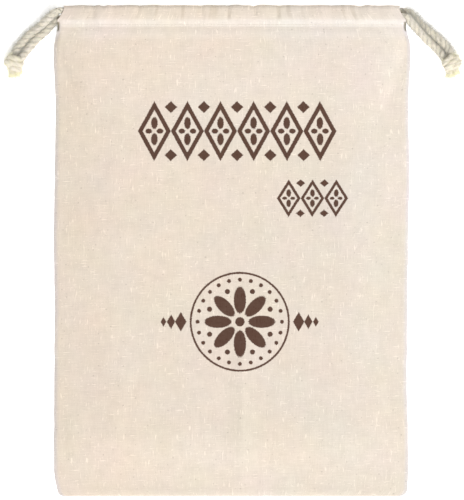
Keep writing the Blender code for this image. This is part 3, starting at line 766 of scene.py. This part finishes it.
def knot(name, node, place, seed, material, frayed):
    """A knot of two cords: a core, two wraps round it, two short tails and their frayed yarns."""
    draw = random.Random(seed)
    shape = Shape()
    matrix = knot_matrix(place)
    share = np.linspace(-1, 1, 15)
    core = placed(matrix, np.array([(0, CORE_HALF_LENGTH * s, 0) for s in share]) * MM)
    swell = np.sqrt(np.clip(1 - share**2, 0.02, 1))
    section = oval_section(CORE_HALF_THICKNESS * MM, CORE_HALF_WIDTH * MM, 24)
    shape.tube(core, swell[:, None] * section)
    for start in (0.0, 0.5):
        t = np.linspace(0, 1, 60)
        tuck = smooth_step(t / 0.14) * smooth_step((1 - t) / 0.14)
        angle = math.tau * (start + WRAP_TURNS * t + 0.08)
        x = WRAP_REACH[0] * mix(0.3, 1.0, tuck) * np.cos(angle)
        z = WRAP_REACH[1] * mix(0.3, 1.0, tuck) * np.sin(angle)
        wrap = placed(matrix, np.stack([x, mix(WRAP_RISE, -WRAP_RISE, t), z], axis=1) * MM)
        radii = np.full(len(wrap), WRAP_RADIUS * MM)
        rope(shape, wrap, radii, draw.uniform(0, 9) * MM, seed=seed + start)
    tail_matrix = knot_matrix(place, "tail_turn")
    ends = []
    for strand, reach in zip((-1, 1), TAIL_REACHES):
        way = [(strand * 1.4, -1.0, -0.6), (strand * 2.1, -4.6, -1.7), (strand * 2.6, -reach, -2.8)]
        line = even(through(placed(tail_matrix, np.array(way) * MM), 8), ROPE_STEP)
        radii = np.linspace(*TAIL_RADII, len(line)) * MM
        rope(shape, line, radii, seed=seed + strand)
        ends.append(line)
    body = shape.make(name, material)
    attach(body, "root")
    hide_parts(node)
    tuft = Shape()
    side = math.copysign(1, place["middle"][0])
    hairs(tuft, core, np.full(len(core), KNOT_NAP_REACH * MM), side, seed)
    for line in ends:
        hairs(tuft, line, np.full(len(line), TAIL_RADII[1] * MM), side, seed)
        ahead, across, beside = frames_along(line)
        for _ in range(YARNS):
            angle = draw.uniform(0, math.tau)
            off = 2.5 * MM * math.sqrt(draw.uniform(0, 1))
            out = across[-1] * math.cos(angle) + beside[-1] * math.sin(angle)
            root = line[-1] - ahead[-1] * 1.2 * MM + out * off
            length = draw.uniform(*YARN_LENGTHS) * MM
            steps = np.linspace(0, 1, 6)[:, None]
            curl = np.array([draw.uniform(-1, 1) for _ in range(3)]) * 0.22
            way = ahead[-1] + out * off / MM * 0.13
            yarn = root + way * length * steps + curl * length * steps**2
            yarn[:, 2] = np.maximum(yarn[:, 2], 0.35 * MM)
            thin = np.array(YARN_RADII)[:, None] * MM
            tuft.tube(yarn, np.repeat(thin * draw.uniform(0.7, 1.1), 5, axis=1))
    loose = tuft.make(f"{name}_tuft", frayed)
    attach(loose, "root")
    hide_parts(node)
    return body


class Value:
    """A number that varies over a surface. Each sum with it adds a node to the material."""

    def __init__(self, tree, socket):
        self.tree = tree
        self.socket = socket

    def then(self, operation, *others):
        made = self.tree.nodes.new("ShaderNodeMath")
        made.operation = operation
        for socket, value in zip(made.inputs, (self, *others)):
            if isinstance(value, Value):
                self.tree.links.new(value.socket, socket)
            else:
                socket.default_value = value
        return Value(self.tree, made.outputs[0])

    def __add__(self, other):
        return self.then("ADD", other)

    def __sub__(self, other):
        return self.then("SUBTRACT", other)

    def __mul__(self, other):
        return self.then("MULTIPLY", other)

    def __truediv__(self, other):
        return self.then("DIVIDE", other)

    def __abs__(self):
        return self.then("ABSOLUTE")


class Graph:
    """A material's nodes, with short calls for what a pattern needs."""

    def __init__(self, name, roughness, sheen):
        self.material = bpy.data.materials.new(name)
        self.material.use_nodes = True
        self.tree = self.material.node_tree
        self.shader = self.tree.nodes["Principled BSDF"]
        self.shader.inputs["Roughness"].default_value = roughness
        self.shader.inputs["Specular IOR Level"].default_value = 0.2
        self.shader.inputs["Sheen Weight"].default_value = sheen
        self.shader.inputs["Sheen Roughness"].default_value = 0.6

    def node(self, kind, inputs=(), **settings):
        made = self.tree.nodes.new(kind)
        for key, value in settings.items():
            setattr(made, key, value)
        for socket, value in zip(made.inputs, inputs):
            if isinstance(value, Value):
                value = value.socket
            if isinstance(value, bpy.types.NodeSocket):
                self.tree.links.new(value, socket)
            else:
                socket.default_value = value
        return made

    def place(self):
        """The place on the flat cloth or along the rope, as three values."""
        attribute = self.node("ShaderNodeAttribute", attribute_name="place")
        split = self.node("ShaderNodeSeparateXYZ", (attribute.outputs["Vector"],))
        return [Value(self.tree, socket) for socket in split.outputs]

    def noise(self, x, y, z=0.0, detail=2.0, output="Fac"):
        """Smooth unevenness from 0 to 1, in lumps about 1 across."""
        spot = self.node("ShaderNodeCombineXYZ", (x, y, z)).outputs[0]
        made = self.node("ShaderNodeTexNoise", (spot,))
        made.inputs["Scale"].default_value = 1.0
        made.inputs["Detail"].default_value = detail
        return Value(self.tree, made.outputs[output])

    def step(self, value, low, high):
        """A smooth step of a value from 0 at low to 1 at high."""
        made = self.node("ShaderNodeMapRange", (value, low, high, 0.0, 1.0))
        made.interpolation_type = "SMOOTHSTEP"
        return Value(self.tree, made.outputs[0])

    def times(self, colour, factor):
        """A colour times a value, or times another colour."""
        if isinstance(factor, Value):
            factor = self.node("ShaderNodeCombineXYZ", (factor, factor, factor)).outputs[0]
        return self.node("ShaderNodeVectorMath", (colour, factor), operation="MULTIPLY").outputs[0]

    def toned(self, colour, share, change):
        """A colour whose parts change by these shares of themselves, where share is 1."""
        spread = self.node("ShaderNodeCombineXYZ", (share, share, share)).outputs[0]
        factor = self.node(
            "ShaderNodeVectorMath", (spread, change, (1, 1, 1)), operation="MULTIPLY_ADD"
        )
        return self.times(colour, factor.outputs[0])

    def tint(self, noise, strengths):
        """A colour round white that leans each way by these shares as its noise varies."""
        start = [1 - strength / 2 for strength in strengths]
        made = self.node(
            "ShaderNodeVectorMath", (noise, strengths, start), operation="MULTIPLY_ADD"
        )
        return made.outputs[0]

    def blend(self, share, first, second):
        made = self.node("ShaderNodeMix", data_type="RGBA")
        self.tree.links.new(share.socket, made.inputs[0])
        self.tree.links.new(first, made.inputs[6])
        made.inputs[7].default_value = (*second, 1.0)
        return made.outputs[2]

    def finish(self, colour, height):
        """Gives the surface its colour, and raises it by a height in mm."""
        made = self.node("ShaderNodeBump", (1.0, MM))
        self.tree.links.new(height.socket, made.inputs["Height"])
        self.tree.links.new(made.outputs[0], self.shader.inputs["Normal"])
        self.tree.links.new(colour, self.shader.inputs["Base Color"])
        return self.material


def painted_light_and_tone(g, u, v):
    """Where the cloth is paler, darker or yellower, each as a share and the change it makes: painted
    shade, painted highlights and tones.
    """
    side = abs(u)
    to_shaded_stretch = nearest(*(abs(u - middle) / reach for middle, reach in CREST_SHADE_STRETCHES))
    crest = g.step(v, 208.0, 210.5)
    fading = g.noise(u / 22, 0.0, 5.3) * 1.6 - 0.1
    body = g.step(v, 196, 187)
    creases = g.step(g.noise(u / 5.5, v / 60, 61.0, detail=0.0), 0.4, 0.24)
    return (
        (g.step(u, 150, -150), (0.018, -0.013, -0.046)),
        # painted shade: a grey-violet band along the side edges, where the cloth rounds away from the
        # light
        (g.step(side, 145.5, 149.0) * body, (-0.06, -0.02, 0.10)),
        # painted shade: the dark of the shadowed slit at each end of the stitch line
        (g.step(side, 147.0, 148.8) * g.step(abs(v - 191.3), 5.0, 3.2), (-0.66, -0.67, -0.74)),
        # painted shade: narrow dark streaks in the casing's creases between the gathers
        (creases * g.step(v, 194, 200), (-0.11, -0.12, -0.14)),
        # painted highlight: a paler, bluer band on the casing's lower flank, which faces the key; it
        # fades in and out along the mouth
        (g.step(abs(v - 193.8), 4.4, 2.2) * fading, (0.04, 0.075, 0.12)),
        (g.step(abs(v - 190.0), 14.0, 4.0), (0.0, 0.02, 0.05)),
        # painted highlight: the fold's crest made lighter where it turns away from the key
        (crest, (0.42, 0.40, 0.32)),
        # painted shade: stretches of the fold's crest kept darker than the rest
        (crest * g.step(to_shaded_stretch, 1.0, 0.55), (-0.5, -0.48, -0.47)),
    )


def linen(name, printed):
    """Plain-woven linen: uneven threads with slubs, patchy in tone, with painted shade and painted
    highlights, and the print on the front.
    """
    g = Graph(name, roughness=0.93, sheen=0.12)
    u, v, _ = g.place()
    sway_u = u + g.noise(u / 9, v / 9, 3.1) * 0.5
    sway_v = v + g.noise(u / 9, v / 9, 7.7) * 0.5
    over = (sway_u * (math.pi / THREAD_PITCH)).then("SINE")
    under = (sway_v * (math.pi / THREAD_PITCH)).then("SINE")
    weave = over * under
    warp = g.noise(u / 0.85, v / 12, 1.3) - 0.5
    weft = g.noise(u / 13, v / 0.85, 5.9) - 0.5
    long_slub = g.step(g.noise(u / 1.2, v / 7, 11.3, detail=0.0), 0.7, 0.82)
    cross_slub = g.step(g.noise(u / 8, v / 1.2, 17.9, detail=0.0), 0.7, 0.82)
    knops = g.step(g.noise(u / 1.5, v / 1.5, 41.7, detail=0.0), 0.72, 0.82)
    slubs = long_slub.then("MAXIMUM", cross_slub).then("MAXIMUM", knops)
    gaps = g.step(g.noise(u / 2.1, v / 2.1, 23.1, detail=0.0), 0.25, 0.15)
    mottle = g.noise(u / 9, v / 9, 2.2, detail=3.0) - 0.5
    grain = g.noise(u / 0.9, v / 0.9, 8.4, detail=1.0) - 0.5
    level = weave * 0.015 + warp * 0.15 + weft * 0.15 + mottle * 0.16 + grain * 0.07
    level = level + slubs * 0.19 - gaps * 0.2 + 1.0
    hue = g.noise(u / 40, v / 40, 4.4, output="Color")
    cloth = g.times(g.times(LINEN_COLOUR, g.tint(hue.socket, (0.09, 0.065, 0.13))), level)
    # painted shade and painted highlights, with the tones, laid over the cloth's colour
    for share, change in painted_light_and_tone(g, u, v):
        cloth = g.toned(cloth, share, change)
    if printed:
        cloth = g.blend(ornament(g, u, v) * (level * 0.2 + 0.78), cloth, INK_COLOUR)
    height = weave * 0.03 + warp * 0.12 + weft * 0.12 + slubs * 0.12 - gaps * 0.06
    return g.finish(cloth, height)


def lozenge(x, y, wide, tall):
    """The distance in mm to a lozenge with these half sizes: below 0 inside it."""
    return (abs(x) / wide + abs(y) / tall - 1.0) * (wide * tall / math.hypot(wide, tall))


def oval(x, y, wide, tall):
    """About the distance in mm to an oval with these half sizes: below 0 inside it."""
    across = x / wide
    upwards = y / tall
    return ((across * across + upwards * upwards).then("SQRT") - 1.0) * min(wide, tall)


def outline(distance, thick):
    """The distance to a figure's outline, drawn inwards this thick."""
    return abs(distance + thick / 2) - thick / 2


def nearest(first, *others):
    for other in others:
        first = first.then("MINIMUM", other)
    return first


def lozenge_row(x, y, count, pitch, tall, thick):
    """A row of outlined lozenges with flowers in them, and small ones in the gaps between."""
    near = (x + (pitch / 2 if count % 2 == 0 else 0.0)).then("PINGPONG", pitch / 2)
    far = near * -1 + pitch / 2
    height = abs(y)
    ring = outline(lozenge(near, height, pitch / 2, tall), thick)
    leaf = oval(near, height - tall * 0.27, pitch * 0.1, tall * 0.2)
    side_leaf = oval(near - pitch * 0.17, height, pitch * 0.1, tall * 0.085)
    small = lozenge(far, height - tall * 0.8, pitch * 0.19, tall * 0.2)
    between = small.then("MAXIMUM", abs(x) - (count / 2 - 0.3) * pitch)
    return nearest(ring, leaf, side_leaf, between).then("MAXIMUM", abs(x) - count * pitch / 2)


def rosette(x, y):
    """A flower of eight petals in a ring of dots, with a few lozenges at each side."""
    far = (x * x + y * y).then("SQRT")
    turn = y.then("ARCTAN2", x)

    def round_the_middle(count, reach, wide, tall, half_turned=False):
        folded = turn.then("PINGPONG", math.pi / count)
        if half_turned:
            folded = folded * -1 + math.pi / count
        return oval(far * folded.then("COSINE") - reach, far * folded.then("SINE"), wide, tall)

    petals = round_the_middle(8, 18.6, 11.4, 5.2)
    buds = round_the_middle(8, 27.8, 2.2, 2.2, half_turned=True)
    dots = round_the_middle(24, 35.8, 1.7, 1.7)
    rings = nearest(outline(far - 42.4, 1.7), far - 4.0)
    shapes = nearest(petals, buds, dots, rings)
    for reach, tall in ((50, 8.4), (58.2, 6.2), (64.6, 4.2)):
        shapes = nearest(shapes, lozenge(abs(x) - reach, y, tall * 0.58, tall))
    return shapes


def ornament(g, u, v):
    """How much of the print's ink lies at each place: two rows of lozenges and a rosette."""
    row = lozenge_row(u - 4.5, v - 102.0, count=6, pitch=28.0, tall=25.5, thick=3.6)
    short_row = lozenge_row(u - 68.0, v - 45.0, count=3, pitch=20.0, tall=16.0, thick=2.4)
    shapes = nearest(row, short_row, rosette(u - 7.0, v + 60.0))
    frayed = shapes + (g.noise(u / 0.9, v / 0.9, 31.0) - 0.5) * 1.4
    return g.step(frayed, 0.35, -0.35)


def cotton(name, colour, relief):
    """Soft cotton rope: fine yarns that lie slantwise on each strand, with painted shade in the
    grooves.
    relief says how much of the yarns' height shows, from 0 to 1."""
    g = Graph(name, roughness=0.95, sheen=0.3)
    across, run, strand = g.place()
    yarn = ((across * 4.0 + run / 3.4) * math.tau + strand * 2.1).then("SINE")
    fibre = g.noise(across * 22.0, run / 1.6, strand, detail=3.0) - 0.5
    groove = g.step(abs(across * 2.0 - 1.0), 0.66, 1.0)
    patch = g.noise(run / 7, strand, 3.0) - 0.5
    # groove: painted shade in the grooves between the strands
    level = yarn * 0.03 + fibre * 0.2 + patch * 0.1 - groove * 0.05 + 1.0
    hue = g.noise(across * 2, run / 5, strand, output="Color")
    tinted = g.times(colour, g.tint(hue.socket, (0.10, 0.10, 0.24)))
    return g.finish(g.times(tinted, level), (yarn * 0.09 + fibre * 0.3) * relief)


def sewing_thread():
    """A fine thread whose plies show as slanting bands."""
    g = Graph("sewing_thread", roughness=0.8, sheen=0.1)
    across, run, _ = g.place()
    ply = ((across + run / 0.9) * math.tau).then("SINE")
    tone = g.noise(run / 6, across) - 0.5
    return g.finish(g.times(SEWING_COLOUR, ply * 0.08 + tone * 0.2 + 1.0), ply * 0.02)


def camera():
    data = bpy.data.cameras.new("camera")
    data.sensor_width = SENSOR
    data.lens = SENSOR * (CAMERA_PLACE.z - CLOTH_LEVEL) / (PHOTO_HEIGHT * METRES_PER_PIXEL)
    data.clip_end = 20.0
    thing = bpy.data.objects.new("camera", data)
    thing.location = CAMERA_PLACE
    bpy.context.scene.collection.objects.link(thing)
    bpy.context.scene.camera = thing


def studio():
    """A white light table, an even sky, a soft key from the picture's foot and a fill at its right."""
    world = bpy.data.worlds.new("studio")
    world.use_nodes = True
    world.node_tree.nodes["Background"].inputs["Color"].default_value = (1.0, 1.0, 1.0, 1.0)
    world.node_tree.nodes["Background"].inputs["Strength"].default_value = SKY_STRENGTH
    bpy.context.scene.world = world
    bpy.context.scene.view_settings.view_transform = "Standard"
    key = bpy.data.lights.new("key", "SUN")
    key.energy = KEY_STRENGTH
    key.angle = KEY_SOFTNESS
    fill = bpy.data.lights.new("fill", "AREA")
    fill.shape = "DISK"
    fill.size = FILL_SIZE
    fill.energy = FILL_POWER
    for light, place in ((key, KEY_FROM), (fill, FILL_PLACE)):
        lamp = bpy.data.objects.new(light.name, light)
        lamp.location = place
        lamp.rotation_mode = "QUATERNION"
        lamp.rotation_quaternion = place.to_track_quat("Z", "Y")
        bpy.context.scene.collection.objects.link(lamp)
    mesh = bpy.data.meshes.new("floor")
    reach = 4.0
    corners = [(-reach, -reach, 0), (reach, -reach, 0), (reach, reach, 0), (-reach, reach, 0)]
    mesh.from_pydata(corners, [], [(0, 1, 2, 3)])
    white = bpy.data.materials.new("floor_white")
    white.use_nodes = True
    shader = white.node_tree.nodes["Principled BSDF"]
    shader.inputs["Base Color"].default_value = (0.9, 0.9, 0.9, 1.0)
    shader.inputs["Roughness"].default_value = 0.9
    shader.inputs["Specular IOR Level"].default_value = 0.1
    shader.inputs["Emission Color"].default_value = (1.0, 1.0, 1.0, 1.0)
    shader.inputs["Emission Strength"].default_value = FLOOR_GLOW
    mesh.materials.append(white)
    floor = bpy.data.objects.new("floor", mesh)
    floor.location.z = -0.1 * MM
    bpy.context.scene.collection.objects.link(floor)


def main():
    camera()
    studio()
    cord_material = cotton("cotton_cord", COTTON_COLOUR, relief=1.0)
    frayed = cotton("cotton_frayed", FRAYED_COLOUR, relief=0.02)
    # painted shadow: the grey down on the cords
    down = cotton("cotton_down_shadow", SHADOW_DOWN_COLOUR, relief=0.0)
    left_knot = knot("left_knot", "knot_left", KNOT_LEFT, 3, cord_material, frayed)
    right_knot = knot("right_knot", "knot_right", KNOT_RIGHT, 5, cord_material, frayed)
    left = cord_line(-1, UPPER_RUN, LOWER_RUN, LEFT_FRONT_TAIL, LEFT_BACK_TAIL, KNOT_LEFT)
    right = cord_line(1, LOWER_RUN, UPPER_RUN, RIGHT_FRONT_TAIL, RIGHT_BACK_TAIL, KNOT_RIGHT)
    cord("cord_left", "drawcord_left", -1, left, cord_material, down)
    cord("cord_right", "drawcord_right", 1, right, cord_material, down)
    front = front_grid()
    inside = linen("linen", printed=False)
    front_sheet = cloth_sheet(
        "front_cloth", front, "front_panel", linen("linen_printed", printed=True), inside
    )
    back_sheet = cloth_sheet("back_cloth", back_grid(), "back_panel", inside)
    stitches = stitch_row(
        "casing_stitches", front, (-146, STITCH / MM + ABOVE_STITCH),
        (146.5, STITCH / MM + ABOVE_STITCH), sewing_thread(),
    )


main()
